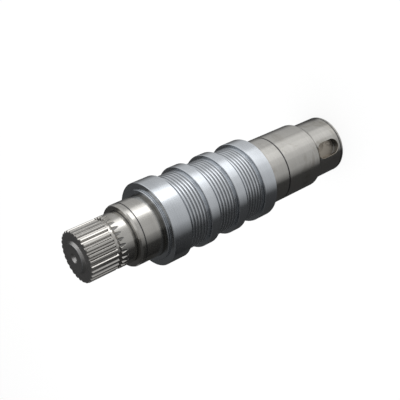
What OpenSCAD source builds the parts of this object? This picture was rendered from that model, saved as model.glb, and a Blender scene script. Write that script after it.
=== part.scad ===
// Gear shaft turned from one bar: a splined drive end, stepped bearing journals,
// four collars with grooved waists between them, and a keyed tail.
// It stands on its tail face. Z runs up the axis to the spline, and the keyway faces -Y.

/* [Tail] */
// Diameter of the keyed tail
tail_d = 73.2; // [66:0.1:78]
// Length of the tail, from its end face to the foot of the cone
tail_len = 43.5; // [40:0.5:70]
// Chamfer round the tail's end face
tail_chamfer = 1.4; // [0.5:0.1:2]
// Height of the ring groove's middle above the end face
tail_groove_z = 4.6; // [3.5:0.1:6]
// Width of the ring groove
tail_groove_w = 1.1; // [0.8:0.1:1.6]
// Depth of the ring groove
tail_groove_depth = 0.6; // [0.3:0.1:1.2]

/* [Keyway] */
// Width of the keyway
key_w = 20; // [14:0.5:24]
// Length of the keyway over its round ends
key_len = 35.8; // [30:0.1:38]
// Depth of the keyway below the tail's surface
key_depth = 7.5; // [5:0.1:9]
// Plain land between the tail's end face and the keyway
key_end_gap = 9; // [7:0.1:12]

/* [Rear journal] */
// Diameter of the rear bearing journal
rear_d = 83; // [80:0.1:88]
// Length of the rear journal, from the cone's rim to the last collar
rear_len = 84.1; // [70:0.1:110]
// Length of the cone between the tail and the rear journal
rear_cone_len = 6.7; // [4:0.1:10]
// Height of the ring groove's middle above the cone's rim
rear_groove_z = 54.2; // [40:0.1:60]
// Width of the ring groove
rear_groove_w = 1.7; // [1:0.1:2.5]
// Depth of the ring groove
rear_groove_depth = 0.9; // [0.4:0.1:2]

/* [Collars] */
// Diameter of the four collars
collar_d = 99; // [95:0.1:105]
// Length of each collar along the axis, from the tail to the spline
collar_lens = [19.5, 13.2, 13.2, 25];
// Edge chamfer of a collar
collar_chamfer = 0.7; // [0.3:0.1:1.2]

/* [Waists] */
// Diameter of a waist over its ribs
waist_d = 90; // [86:0.1:93]
// Length of a waist between two collars
waist_len = 28; // [26:0.1:34]
// Number of grooves in a waist
groove_count = 6; // [3:1:6]
// Distance from one groove to the next
groove_pitch = 4.27; // [3.6:0.01:4.4]
// Width of a groove at its mouth
groove_w = 2.4; // [1.8:0.1:2.8]
// Width of a groove at its floor
groove_floor_w = 0.9; // [0.5:0.1:1.4]
// Depth of a groove
groove_depth = 1.1; // [0.5:0.1:1.6]

/* [Front journal] */
// Diameter of the front bearing journal
front_d = 72.7; // [68:0.1:76]
// Length of the front journal, from its shoulder to the hub ring
front_len = 32.3; // [26:0.1:45]
// Diameter of the hub ring in front of the first collar
hub_d = 84; // [80:0.1:88]
// Length of the hub ring
hub_len = 2.6; // [1.5:0.1:4]
// Chamfer on the hub ring's rim
hub_chamfer = 0.6; // [0.2:0.1:1]
// Distance from the shoulder's face to the middle of its ring groove
front_groove_gap = 7.5; // [6:0.1:10]
// Width of the ring groove
front_groove_w = 1.2; // [0.8:0.1:2]
// Depth of the ring groove
front_groove_depth = 0.7; // [0.3:0.1:1.5]
// Length of the shoulder's chamfer along the axis
shoulder_chamfer_len = 2.4; // [1:0.1:4]
// Radial height of the shoulder's chamfer
shoulder_chamfer_h = 1; // [0.5:0.1:2]

/* [Neck] */
// Diameter of the neck behind the spline
neck_d = 60; // [59.8:0.1:64]
// Length of the neck, from the relief to the shoulder
neck_len = 19.2; // [16:0.1:30]
// Width of the grinding relief at the foot of the shoulder
neck_relief_w = 1; // [0.6:0.1:1.6]
// Depth of the grinding relief
neck_relief_depth = 0.4; // [0.2:0.1:0.8]

/* [Spline] */
// Number of spline teeth
teeth = 28; // [24:1:28]
// Module of the spline
spline_module = 2; // [1.9:0.01:2]
// Pressure angle of the spline
pressure_angle = 30; // [25:1:32]
// Profile shift of the teeth, in modules
profile_shift = 0.45; // [0.4:0.01:0.5]
// Diameter over the tooth tips
spline_tip_d = 59.6; // [59:0.1:59.8]
// Depth of a tooth gap
tooth_depth = 2.1; // [1.6:0.05:2.2]
// Length of the spline, from its end face to the relief
spline_len = 33.8; // [26:0.1:50]
// Chamfer round the spline's end face
spline_chamfer = 0.8; // [0.4:0.1:1.5]
// Turn of the spline about the axis, measured from +X
spline_turn = -2.4; // [-6:0.1:6]
// Radius of the hob, which sets how the gaps run out into the neck
hob_r = 25; // [15:1:40]
// Width of the relief behind the spline
relief_w = 4.1; // [3:0.1:6]
// Depth of the relief below the floor of the tooth gaps
relief_extra = 0.4; // [0.1:0.1:1]

/* [End boss and centres] */
// Diameter of the end boss at its foot
boss_d = 36.6; // [30:0.1:40]
// Height of the end boss
boss_h = 3; // [1:0.1:5]
// Side slope of the end boss, measured from the axis
boss_slope = 38; // [0:1:45]
// Diameter of a centre hole's mouth
centre_mouth_d = 11; // [6:0.1:14]
// Diameter of a centre hole's pilot bore
centre_pilot_d = 5; // [3:0.1:5.5]
// Depth of a centre hole's pilot bore below its cone
centre_pilot_len = 7; // [3:0.1:12]

/* [Hidden] */
$fn = 96;

// Overlap that carries a cut clear of the surface
clear = 1;
// Straight steps along one flank of a tooth
flank_steps = 2;
// Included angle of a centre hole's cone
centre_angle = 60;

tail_r = tail_d / 2;
rear_r = rear_d / 2;
collar_r = collar_d / 2;
waist_r = waist_d / 2;
front_r = front_d / 2;
hub_r = hub_d / 2;
neck_r = neck_d / 2;
tip_r = spline_tip_d / 2;
root_r = tip_r - tooth_depth;
relief_r = root_r - relief_extra;
boss_r = boss_d / 2;

// Stations along the axis, from the tail's end face upwards
cone_rim_z = tail_len + rear_cone_len;
collars_z = cone_rim_z + rear_len;
function collar_z(i) = i == 0 ? collars_z : collar_z(i - 1) + collar_lens[i - 1] + waist_len;
last_collar = len(collar_lens) - 1;
hub_z = collar_z(last_collar) + collar_lens[last_collar];
front_z = hub_z + hub_len;
shoulder_z = front_z + front_len;
relief_z = shoulder_z + neck_len;
spline_z = relief_z + relief_w;
end_z = spline_z + spline_len;

// Involute flanks
reference_r = spline_module * teeth / 2;
base_r = reference_r * cos(pressure_angle);
function involute(r) = tan(acos(base_r / r)) * 180 / PI - acos(base_r / r);
half_tooth = (PI / 4 + profile_shift * tan(pressure_angle)) * spline_module / reference_r * 180 / PI;
function half_gap(r) = 180 / teeth - half_tooth - involute(reference_r) + involute(r);

// One side of a tooth gap as points of radius and angle, from its floor to past the tips
function flank() = [
    for (i = [0 : flank_steps])
        let (r = root_r + i * (tooth_depth + clear) / flank_steps)
        [r, half_gap(r)]
];
function polar(r, angle) = [r * cos(angle), r * sin(angle)];

// Outline of all the teeth, with their tips left long
function teeth_outline() = [
    for (i = [0 : teeth - 1])
        let (middle = spline_turn + i * 360 / teeth)
        each concat(
            [for (j = [flank_steps : -1 : 0]) polar(flank()[j][0], middle - flank()[j][1])],
            [for (j = [0 : flank_steps]) polar(flank()[j][0], middle + flank()[j][1])]
        )
];

// Section of the hob's tooth, as points of distance from the hob's axis and half width
function hob_side() = [
    for (p = flank())
        let (q = polar(p[0], p[1]))
        [hob_r + root_r - q[0], q[1]]
];
function hob_outline() = concat(
    hob_side(),
    [for (j = [flank_steps : -1 : 0]) [hob_side()[j][0], -hob_side()[j][1]]]
);

// Turn of the hob's rim at the relief's middle, and where its floor is clear of the neck
lift_start = asin(relief_w / 2 / hob_r);
lift_end = acos((root_r + hob_r - neck_r - clear) / hob_r);

// A ring groove with square walls in a journal, as outline points from its lower edge up
function ring_groove(z, w, depth, r) = [
    [r, z - w / 2],
    [r - depth, z - w / 2],
    [r - depth, z + w / 2],
    [r, z + w / 2]
];

// A collar with chamfered rims, as outline points
function collar(z, len) = [
    [collar_r - collar_chamfer, z],
    [collar_r, z + collar_chamfer],
    [collar_r, z + len - collar_chamfer],
    [collar_r - collar_chamfer, z + len]
];

// A waist with its row of sloped grooves centred between two collars, as outline points
function waist(z) = concat(
    [[waist_r, z]],
    [
        for (i = [0 : groove_count - 1])
            let (m = z + waist_len / 2 + (i - (groove_count - 1) / 2) * groove_pitch)
            each [
                [waist_r, m - groove_w / 2],
                [waist_r - groove_depth, m - groove_floor_w / 2],
                [waist_r - groove_depth, m + groove_floor_w / 2],
                [waist_r, m + groove_w / 2]
            ]
    ],
    [[waist_r, z + waist_len]]
);

// Half section of the turned blank
function blank_outline() = concat(
    [[0, 0], [tail_r - tail_chamfer, 0], [tail_r, tail_chamfer]],
    ring_groove(tail_groove_z, tail_groove_w, tail_groove_depth, tail_r),
    [[tail_r, tail_len], [rear_r, cone_rim_z]],
    ring_groove(cone_rim_z + rear_groove_z, rear_groove_w, rear_groove_depth, rear_r),
    [[rear_r, collars_z]],
    [for (i = [0 : last_collar]) each concat(
        collar(collar_z(i), collar_lens[i]),
        i < last_collar ? waist(collar_z(i) + collar_lens[i]) : []
    )],
    [[hub_r, hub_z], [hub_r, front_z - hub_chamfer], [hub_r - hub_chamfer, front_z], [front_r, front_z]],
    ring_groove(shoulder_z - front_groove_gap, front_groove_w, front_groove_depth, front_r),
    [
        [front_r, shoulder_z - shoulder_chamfer_len],
        [front_r - shoulder_chamfer_h, shoulder_z],
        [neck_r - neck_relief_depth, shoulder_z],
        [neck_r - neck_relief_depth, shoulder_z + neck_relief_w],
        [neck_r, shoulder_z + neck_relief_w],
        [neck_r, relief_z],
        [relief_r, relief_z],
        [relief_r, spline_z + clear],
        [boss_r, spline_z + clear],
        [boss_r, end_z],
        [boss_r - boss_h * tan(boss_slope), end_z + boss_h],
        [0, end_z + boss_h]
    ]
);

// The toothed end: a chamfered cylinder cut down to the outline of the teeth
module spline() {
    intersection() {
        rotate_extrude()
            polygon([
                [0, spline_z],
                [tip_r, spline_z],
                [tip_r, end_z - spline_chamfer],
                [tip_r - spline_chamfer, end_z],
                [0, end_z]
            ]);
        translate([0, 0, spline_z - clear])
            linear_extrude(height = spline_len + 2 * clear)
                polygon(teeth_outline());
    }
}

// The arc along +X where the hob lifts out of one gap, from the relief into the neck
module hob_lift() {
    translate([root_r + hob_r, 0, spline_z])
        rotate([90, 0, 0])
            rotate([0, 0, 180 + lift_start])
                rotate_extrude(angle = lift_end - lift_start)
                    polygon(hob_outline());
}

// Keyway with round ends, cut into the tail from -Y
module keyway() {
    half = key_w / 2;
    translate([0, key_depth - tail_r, key_end_gap])
        rotate([90, 0, 0])
            linear_extrude(height = rear_r - tail_r + key_depth + clear) {
                translate([0, half])
                    circle(r = half);
                translate([0, key_len - half])
                    circle(r = half);
                translate([-half, half])
                    square([key_w, key_len - key_w]);
            }
}

// Centre hole with a cone mouth and a pilot bore, running up from Z = 0
module centre_hole() {
    cone_len = (centre_mouth_d - centre_pilot_d) / 2 / tan(centre_angle / 2);
    cylinder(h = cone_len, d1 = centre_mouth_d, d2 = centre_pilot_d);
    cylinder(h = cone_len + centre_pilot_len, d = centre_pilot_d);
}

module gear_shaft() {
    color("silver")
        difference() {
            union() {
                // The outline starts and ends its turn under the keyway
                rotate([0, 0, -90])
                    rotate_extrude()
                        polygon(blank_outline());
                spline();
            }
            for (i = [0 : teeth - 1])
                rotate([0, 0, spline_turn + i * 360 / teeth])
                    hob_lift();
            keyway();
            centre_hole();
            translate([0, 0, end_z + boss_h])
                mirror([0, 0, 1])
                    centre_hole();
        }
}

gear_shaft();
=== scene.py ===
"""Looks of a turned and ground gear shaft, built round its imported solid.

The shaft is one bar. Its skin repeats every tooth of the spline, so one pitch of it is
drawn as a strip of rings and a node tree turns that strip round the axis, cuts the keyway
and puts a finish on each zone. The studio is a pale floor with boards that the steel mirrors.
Sizes are in mm and angles in degrees, unless a comment says otherwise.
"""

import logging
import math
from dataclasses import dataclass, field
from enum import Enum

import bpy
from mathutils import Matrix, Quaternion, Vector

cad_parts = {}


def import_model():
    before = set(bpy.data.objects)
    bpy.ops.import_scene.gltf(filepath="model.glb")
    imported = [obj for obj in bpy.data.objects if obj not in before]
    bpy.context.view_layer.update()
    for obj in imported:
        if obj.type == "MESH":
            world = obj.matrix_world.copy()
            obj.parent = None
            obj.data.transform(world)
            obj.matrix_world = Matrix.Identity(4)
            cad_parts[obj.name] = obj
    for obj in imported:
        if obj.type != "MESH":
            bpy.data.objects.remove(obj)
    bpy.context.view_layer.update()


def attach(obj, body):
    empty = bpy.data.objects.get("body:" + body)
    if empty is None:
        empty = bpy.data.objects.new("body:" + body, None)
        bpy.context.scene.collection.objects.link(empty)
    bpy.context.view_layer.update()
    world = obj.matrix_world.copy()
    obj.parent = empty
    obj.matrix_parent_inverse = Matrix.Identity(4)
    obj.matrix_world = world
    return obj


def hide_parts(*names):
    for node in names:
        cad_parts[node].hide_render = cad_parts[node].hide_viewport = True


LOG = logging.getLogger("gear_shaft")
MM = 0.001
NODE = "gear_shaft"
HAIR = 0.01  # a length too small to see
SIDE_SHARE = 0.42  # the most of a side that a broken edge may take
STEP_ANGLE = 32  # how far one step of a broken edge turns
SHARP_ANGLE = 36  # past this an edge stays sharp
FACE_WEIGHT = 80  # how much more the larger faces count for a normal
PIECE = "turned_shaft"  # name of the finished piece

Point = tuple[float, float, float]
Colour = tuple[float, float, float]
Face = tuple[int, ...]
Socket = bpy.types.NodeSocket


class Zone(Enum):
    """Where on the shaft a face lies, which sets its finish."""

    GROUND = 0
    TURNED = 1
    HOBBED = 2
    FACED = 3
    MILLED = 4
    # painted shade: a dark finish for the ring grooves, the hub's line, the neck's relief, the
    # run-outs, the gaps' roots and the keyway's lower end
    OILED = 5
    # the waists' grooves, with a darker tone that is painted shade
    GROOVED = 6


def mix(a: float, b: float, share: float) -> float:
    """Returns the value that lies a share of the way from a to b."""
    return a + (b - a) * share


def mesh_of(name: str, points: list[Point], faces: list[Face]) -> bpy.types.Mesh:
    """Makes a mesh of points in metres and faces.

    Args:
        name: Name of the mesh.
        points: Its points, in metres.
        faces: Its faces.

    Returns:
        The mesh.
    """
    mesh = bpy.data.meshes.new(name)
    mesh.from_pydata(points, [], faces)
    return mesh


def placed(name: str, data: bpy.types.ID) -> bpy.types.Object:
    """Makes an object at the origin and links it to the scene.

    Args:
        name: Name of the object.
        data: What it shows.

    Returns:
        The object.
    """
    thing = bpy.data.objects.new(name, data)
    bpy.context.scene.collection.objects.link(thing)
    return thing


def plain_mesh(thing: bpy.types.Object) -> bpy.types.Mesh:
    """Makes a plain mesh of an object as its modifiers show it, and takes them off.

    Args:
        thing: The object, which loses its modifiers.

    Returns:
        The plain mesh.
    """
    graph = bpy.context.evaluated_depsgraph_get()
    mesh = bpy.data.meshes.new_from_object(thing.evaluated_get(graph))
    thing.modifiers.clear()
    return mesh


# Outline of the blank


@dataclass(frozen=True)
class Corner:
    """A corner of the blank's half section.

    Args:
        r: Distance from the axis.
        z: Height above the tail's end face.
        edge: Radius that the corner is broken to.
        steps: Straight steps round the broken corner, or 0 to have them worked out.
    """

    r: float
    z: float
    edge: float = 0.0
    steps: int = 0


def broken(corners: list[Corner]) -> list[tuple[float, float]]:
    """Rounds each corner that has an edge radius.

    Args:
        corners: The corners in order, the first and last left as they are.

    Returns:
        Points of radius and height.
    """
    points: list[tuple[float, float]] = []
    for i, corner in enumerate(corners):
        here = Vector((corner.r, corner.z))
        if corner.edge <= 0 or i in (0, len(corners) - 1):
            points.append((here.x, here.y))
            continue
        back = Vector((corners[i - 1].r, corners[i - 1].z)) - here
        ahead = Vector((corners[i + 1].r, corners[i + 1].z)) - here
        turn = math.pi - back.angle(ahead)
        room = min(SIDE_SHARE * back.length, SIDE_SHARE * ahead.length)
        reach = min(corner.edge * math.tan(turn / 2), room)
        steps = corner.steps or max(1, round(math.degrees(turn) / STEP_ANGLE))
        start, end = here + back.normalized() * reach, here + ahead.normalized() * reach
        for k in range(steps + 1):
            share = k / steps
            point = start.lerp(here, share).lerp(here.lerp(end, share), share)
            points.append((point.x, point.y))
    return points


@dataclass
class CentreHole:
    """A turning centre in an end face, with a cone mouth and a pilot bore."""

    mouth_r: float = 5.5
    pilot_r: float = 2.5
    pilot_len: float = 7.0
    half_angle: float = 30.0
    edge: float = 0.2
    mouth_edge: float = 0.25

    def corners(self, face_z: float, inward: int) -> list[Corner]:
        """Draws the hole from its floor on the axis out to its mouth.

        Args:
            face_z: Height of the end face.
            inward: 1 where the hole runs up into the shaft, -1 where it runs down.

        Returns:
            The hole's corners.
        """
        cone = (self.mouth_r - self.pilot_r) / math.tan(math.radians(self.half_angle))
        floor = face_z + inward * (cone + self.pilot_len)
        return [
            Corner(0, floor),
            Corner(self.pilot_r, floor, self.edge, 1),
            Corner(self.pilot_r, face_z + inward * cone, self.edge, 1),
            Corner(self.mouth_r, face_z, self.mouth_edge, 2),
        ]


@dataclass
class RingGroove:
    """A narrow square groove round a journal, with painted shade in it and in a band along its
    lips.
    """

    z: float
    width: float
    depth: float
    shaded_lips: float = 0.0
    lip: float = 0.22
    root: float = 0.15

    def corners(self, r: float) -> list[Corner]:
        """Draws the groove from its lower edge up.

        Args:
            r: Radius of the journal.

        Returns:
            The groove's corners, with flat ones where the painted shade along its lips ends.
        """
        low, high, floor = self.z - self.width / 2, self.z + self.width / 2, r - self.depth
        groove = [
            Corner(r, low, self.lip, 2),
            Corner(floor, low, self.root, 1),
            Corner(floor, high, self.root, 1),
            Corner(r, high, self.lip, 2),
        ]
        if self.shaded_lips > 0:
            return [Corner(r, low - self.shaded_lips), *groove, Corner(r, high + self.shaded_lips)]
        return groove

    def in_painted_shade(self, r: float, z: float, journal_r: float) -> bool:
        """Tells whether a point of the half section lies in the groove or in the band along its
        lips, where shade is painted.
        """
        away = abs(z - self.z) - self.width / 2
        return away < self.shaded_lips or (away < self.width / 2 and r < journal_r - 2 * HAIR)


@dataclass
class Tail:
    """The keyed tail, from its end face to the rim of the cone."""

    r: float = 36.6
    length: float = 43.5
    chamfer: float = 1.4
    edge: float = 0.3
    cone_len: float = 6.7
    cone_foot: float = 4.5
    # painted shade fills this groove and a band beside each lip
    groove: RingGroove = field(default_factory=lambda: RingGroove(4.6, 1.1, 0.6, shaded_lips=0.5))
    centre: CentreHole = field(default_factory=CentreHole)

    def corners(self) -> list[Corner]:
        """Draws the end face, the chamfer, the seat and the foot of the cone.

        Returns:
            The tail's corners.
        """
        return [
            *self.centre.corners(0, 1),
            Corner(self.r - self.chamfer, 0, self.edge, 2),
            Corner(self.r, self.chamfer, self.edge, 2),
            *self.groove.corners(self.r),
            Corner(self.r, self.length, self.cone_foot, 3),
        ]


@dataclass
class RearJournal:
    """The long ground journal behind the collars."""

    r: float = 41.5
    foot: float = 50.2
    top: float = 134.3
    cone_rim: float = 3.0
    crease: float = 0.5
    groove: RingGroove = field(default_factory=lambda: RingGroove(104.4, 1.7, 0.9))

    def corners(self) -> list[Corner]:
        """Draws the cone's rim, the journal and its ring groove.

        Returns:
            The journal's corners.
        """
        return [
            Corner(self.r, self.foot, self.cone_rim, 3),
            *self.groove.corners(self.r),
            Corner(self.r, self.top, self.crease),
        ]


@dataclass
class CollarStack:
    """Four collars with a grooved waist between each pair."""

    foot: float = 134.3
    r: float = 49.46
    chamfer: float = 0.7
    edge: float = 0.25
    crease: float = 0.4
    lengths: tuple[float, ...] = (19.5, 13.2, 13.2, 25.0)
    waist_r: float = 45.0
    waist_len: float = 28.0
    grooves: int = 6
    pitch: float = 4.27
    mouth: float = 2.4
    lip: float = 0.75
    floor: float = 0.9
    depth: float = 1.1
    groove_from: float = 43.0
    groove_lip: float = 0.35

    def in_groove(self, r: float) -> bool:
        """Tells whether a radius lies in the waists' grooves, below their lips, where their shade
        is painted.
        """
        return self.groove_from < r < self.waist_r - self.groove_lip

    def collar(self, z: float, length: float, last: bool) -> list[Corner]:
        """Draws one collar from its lower face to its upper face.

        Args:
            z: Height of the lower face.
            length: Length along the axis.
            last: Whether it is the collar next to the hub ring.

        Returns:
            The collar's corners.
        """
        inner, c = self.r - self.chamfer, self.chamfer
        rim = ((inner, z), (self.r, z + c), (self.r, z + length - c), (inner, z + length))
        corners = [Corner(r, height, self.edge, 2) for r, height in rim]
        return corners if last else [*corners, Corner(self.waist_r, z + length, self.crease)]

    def waist(self, z: float) -> list[Corner]:
        """Draws the grooves of a waist and the foot of the next collar.

        Args:
            z: Height at which the waist starts.

        Returns:
            The waist's corners.
        """
        found: list[Corner] = []
        low = self.waist_r - self.depth
        for i in range(self.grooves):
            middle = z + self.waist_len / 2 + (i - (self.grooves - 1) / 2) * self.pitch
            found += [
                Corner(self.waist_r, middle - self.mouth / 2, self.lip, 2),
                Corner(low, middle - self.floor / 2, self.crease, 1),
                Corner(low, middle + self.floor / 2, self.crease, 1),
                Corner(self.waist_r, middle + self.mouth / 2, self.lip, 2),
            ]
        return [*found, Corner(self.waist_r, z + self.waist_len, self.crease)]

    def corners(self) -> list[Corner]:
        """Draws all the collars and waists from the tail's side up.

        Returns:
            The stack's corners.
        """
        found: list[Corner] = []
        z = self.foot
        for i, length in enumerate(self.lengths):
            last = i == len(self.lengths) - 1
            found += self.collar(z, length, last)
            z += length
            if not last:
                found += self.waist(z)
                z += self.waist_len
        return found


@dataclass
class FrontJournal:
    """The hub ring, the front journal, its shoulder and the start of the neck."""

    hub_r: float = 42.0
    hub_z: float = 289.2
    hub_len: float = 2.6
    hub_chamfer: float = 0.6
    hub_edge: float = 0.25
    # edges of a band on the hub ring where a dark line of shade is painted
    hub_line: tuple[float, float] = (0.65, 1.35)
    creases: tuple[float, float] = (0.3, 0.4)
    r: float = 36.35
    shoulder_z: float = 324.1
    chamfer_len: float = 2.4
    chamfer_h: float = 1.0
    chamfer_edges: tuple[float, float] = (0.5, 0.3)
    neck_r: float = 30.0
    relief_w: float = 1.0
    relief_depth: float = 0.4
    relief_edges: tuple[float, float] = (0.2, 0.15)
    groove: RingGroove = field(default_factory=lambda: RingGroove(316.6, 1.2, 0.7))

    @property
    def hub_top(self) -> float:
        """Height of the hub ring's upper face."""
        return self.hub_z + self.hub_len

    def in_painted_shade(self, r: float, z: float) -> bool:
        """Tells whether a point lies on the hub's line or in the relief at the neck's foot, where
        shade is painted.

        Args:
            r: Distance of the point from the axis.
            z: Its height.

        Returns:
            Whether shade is painted there.
        """
        low, high = self.hub_line
        if r > self.hub_r - HAIR and low < z - self.hub_z < high:
            return True
        return r < self.neck_r - 2 * HAIR and 0 < z - self.shoulder_z < self.relief_w + HAIR

    def corners(self) -> list[Corner]:
        """Draws from the last collar's face to the foot of the neck.

        Returns:
            The corners of the hub ring, the journal and the relief.
        """
        waist, neck_z = self.neck_r - self.relief_depth, self.shoulder_z + self.relief_w
        inner, outer = self.relief_edges
        return [
            Corner(self.hub_r, self.hub_z, self.creases[0]),
            # these mark where the hub's painted line of shade starts and ends
            *(Corner(self.hub_r, self.hub_z + up) for up in self.hub_line),
            Corner(self.hub_r, self.hub_top - self.hub_chamfer, self.hub_edge, 2),
            Corner(self.hub_r - self.hub_chamfer, self.hub_top, self.hub_edge, 2),
            Corner(self.r, self.hub_top, self.creases[1]),
            *self.groove.corners(self.r),
            Corner(self.r, self.shoulder_z - self.chamfer_len, self.chamfer_edges[0], 1),
            Corner(self.r - self.chamfer_h, self.shoulder_z, self.chamfer_edges[1], 2),
            Corner(waist, self.shoulder_z, inner, 2),
            Corner(waist, neck_z, outer, 1),
            Corner(self.neck_r, neck_z, outer, 2),
        ]


# Rings of one pitch of the skin


@dataclass
class Ring:
    """One ring of points across a pitch of the skin.

    Args:
        angles: Angle of each point from the gap's middle.
        radii: Distance of each point from the axis.
        heights: Height of each point.
        zone: Zone of the faces between this ring and the one before it.
    """

    angles: list[float]
    radii: list[float]
    heights: list[float]
    zone: Zone

    @classmethod
    def plain(cls, point: tuple[float, float], angles: list[float], zone: Zone) -> "Ring":
        """Makes a round ring through one point of the half section.

        Args:
            point: Radius and height of the point.
            angles: Angles of the ring's points.
            zone: Zone of the faces below the ring.

        Returns:
            The ring, or a single point where it lies on the axis.
        """
        if point[0] < HAIR:
            return cls([0.0], [0.0], [point[1]], zone)
        return cls(list(angles), [point[0]] * len(angles), [point[1]] * len(angles), zone)

    def point(self, i: int) -> Point:
        """Returns the i-th point in metres, in the frame of the shaft."""
        a, r = math.radians(self.angles[i]), self.radii[i] * MM
        return (r * math.cos(a), r * math.sin(a), self.heights[i] * MM)


@dataclass
class Spline:
    """The hobbed teeth, the relief behind them and the run-outs in the neck.

    Args:
        over_r: How far above the tips a flank may be looked for.
        floor_shares: Where points stand across half a gap's floor.
        flank_shares: Where they stand up its flank.
        lip_angles: How far past the flank they stand, on the land.
        land_share: Where the last one stands between the flank and the tooth's middle.
        face_shares: Where rings stand up the run-outs' faces.
        chamfer_shares: Where rings stand across the teeth's end chamfer.
        root_soft: How far the roots are filled, and over what share of the floor.
        edge: Half the width of a tooth's broken edge.
        neck_z: Heights of the last rings of the plain neck.
        rim: How far below the relief the run-outs' faces end, and their least length.
        mouth_edge: How far the neck's rim is broken.
        relief_edge: How far the relief's creases are broken, along the radius and the axis.
        foot_edge: How far the teeth's back edges are broken, the same way.
        disc: How far inside the gaps' floors the end face's rings lie.
        land: How far below the tips' radius a face still counts as ground.
        relief_rise: How far above the relief's floor a face still belongs to it.
        shade_share: How much of a run-out's floor has painted shade.
        shade_rise: How high up the gaps' flanks shade is painted.
    """

    teeth: int = 28
    module: float = 2.0
    pressure_angle: float = 30.0
    shift: float = 0.45
    turn: float = -2.4
    tip_r: float = 29.8
    root_r: float = 27.7
    relief_r: float = 27.3
    relief_z: float = 343.3
    foot_z: float = 347.4
    end_z: float = 381.2
    chamfer: float = 0.8
    hob_r: float = 25.0
    neck_r: float = 30.0
    coarse: int = 8
    over_r: float = 2.5
    halvings: int = 40
    floor_shares: tuple[float, ...] = (0.0, 0.45, 0.8, 1.0)
    flank_shares: tuple[float, ...] = (0.1, 0.34, 0.58, 0.82, 0.94)
    lip_angles: tuple[float, ...] = (0.1, 0.42)
    land_share: float = 0.6
    face_shares: tuple[float, ...] = (0.25, 0.5, 0.75, 1.0)
    chamfer_shares: tuple[float, ...] = (0.5, 1.0)
    root_soft: tuple[float, float] = (0.07, 0.25)
    edge: float = 0.16
    neck_z: tuple[float, float, float] = (331.0, 333.0, 335.6)
    rim: tuple[float, float] = (0.2, 0.25)
    mouth_edge: float = 0.18
    relief_edge: tuple[float, float] = (0.25, 0.3)
    foot_edge: tuple[float, float] = (0.12, 0.15)
    disc: tuple[float, float] = (0.35, 1.1)
    land: float = 0.1
    relief_rise: float = 0.3
    shade_share: float = 0.7
    shade_rise: float = 0.75

    @property
    def pitch(self) -> float:
        """Angle from one tooth to the next."""
        return 360 / self.teeth

    def half_gap(self, r: float) -> float:
        """Works out how wide a tooth gap is.

        Args:
            r: Radius at which it is measured.

        Returns:
            Half its width there, as an angle.
        """
        reference = self.module * self.teeth / 2
        pressure = math.radians(self.pressure_angle)
        base = reference * math.cos(pressure)

        def involute(radius: float) -> float:
            """Returns the involute function at a radius."""
            a = math.acos(base / radius)
            return math.degrees(math.tan(a) - a)

        thickness = (math.pi / 4 + self.shift * math.tan(pressure)) * self.module
        half_tooth = math.degrees(thickness / reference)
        return 180 / self.teeth - half_tooth - involute(reference) + involute(r)

    def flank_r(self, angle: float) -> float:
        """Finds where the gap's flank stands.

        Args:
            angle: Angle from the gap's middle.

        Returns:
            The flank's radius there, or the floor's.
        """
        low, high = self.root_r, self.tip_r + self.over_r
        if abs(angle) <= self.half_gap(low):
            return low
        for _ in range(self.halvings):
            middle = (low + high) / 2
            if self.half_gap(middle) < abs(angle):
                low = middle
            else:
                high = middle
        return low

    def fine_angles(self) -> list[float]:
        """Lists the points across one pitch, close together on the flanks.

        Returns:
            Their angles from the first gap's middle.
        """
        floor, mouth = self.half_gap(self.root_r), self.half_gap(self.tip_r)
        half = [floor * share for share in self.floor_shares]
        half += [mix(floor, mouth, share) for share in self.flank_shares]
        half += [mouth + angle for angle in self.lip_angles]
        half += [mix(mouth, self.pitch / 2, self.land_share), self.pitch / 2]
        return half + [self.pitch - a for a in reversed(half[:-1])]

    def even_angles(self, count: int) -> list[float]:
        """Returns count + 1 even angles across one pitch."""
        return [self.pitch * i / count for i in range(count + 1)]

    def from_gap(self, angle: float) -> float:
        """Returns how far an angle lies from the middle of the nearest gap."""
        return min(angle % self.pitch, self.pitch - angle % self.pitch)

    def gap(self, angle: float) -> float:
        """Works out the surface of the gap nearest to an angle, with soft roots.

        Args:
            angle: Angle from the first gap's middle.

        Returns:
            The radius of its floor or flank.
        """
        a, floor = self.from_gap(angle), self.half_gap(self.root_r)
        fill, spread = self.root_soft
        return self.flank_r(a) + max(0.0, 1 - abs(a - floor) / (spread * floor)) * fill

    def cut(self, top: float, angle: float, lift: float = 0.0) -> float:
        """Works out how far the metal reaches at an angle, under a top radius.

        Args:
            top: Radius of the blank there.
            angle: Angle from the gap's middle.
            lift: How far the hob has risen out of the gap.

        Returns:
            The radius of the surface, with the tooth's edges broken.
        """
        low = self.gap(angle) + lift
        if low < top - self.edge:
            return low
        if low > top + self.edge:
            return top
        share = (low - top + self.edge) / (2 * self.edge)
        return mix(top - self.edge, top, share * (2 - share))

    def lift(self, z: float) -> float:
        """Returns how far the hob's rim has risen at a height below the spline's foot."""
        down = min(self.foot_z - z, self.hob_r)
        return self.hob_r - math.sqrt(self.hob_r**2 - down**2)

    def run_out(self, angle: float) -> float:
        """Finds where a gap runs out of the neck.

        Args:
            angle: Angle from the gap's middle.

        Returns:
            The height at which the hob leaves the neck's skin.
        """
        rise = self.neck_r - self.gap(angle)
        if rise <= 0:
            return self.relief_z
        down = math.sqrt(self.hob_r**2 - (self.hob_r - rise) ** 2)
        return min(self.foot_z - down, self.relief_z)

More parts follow.
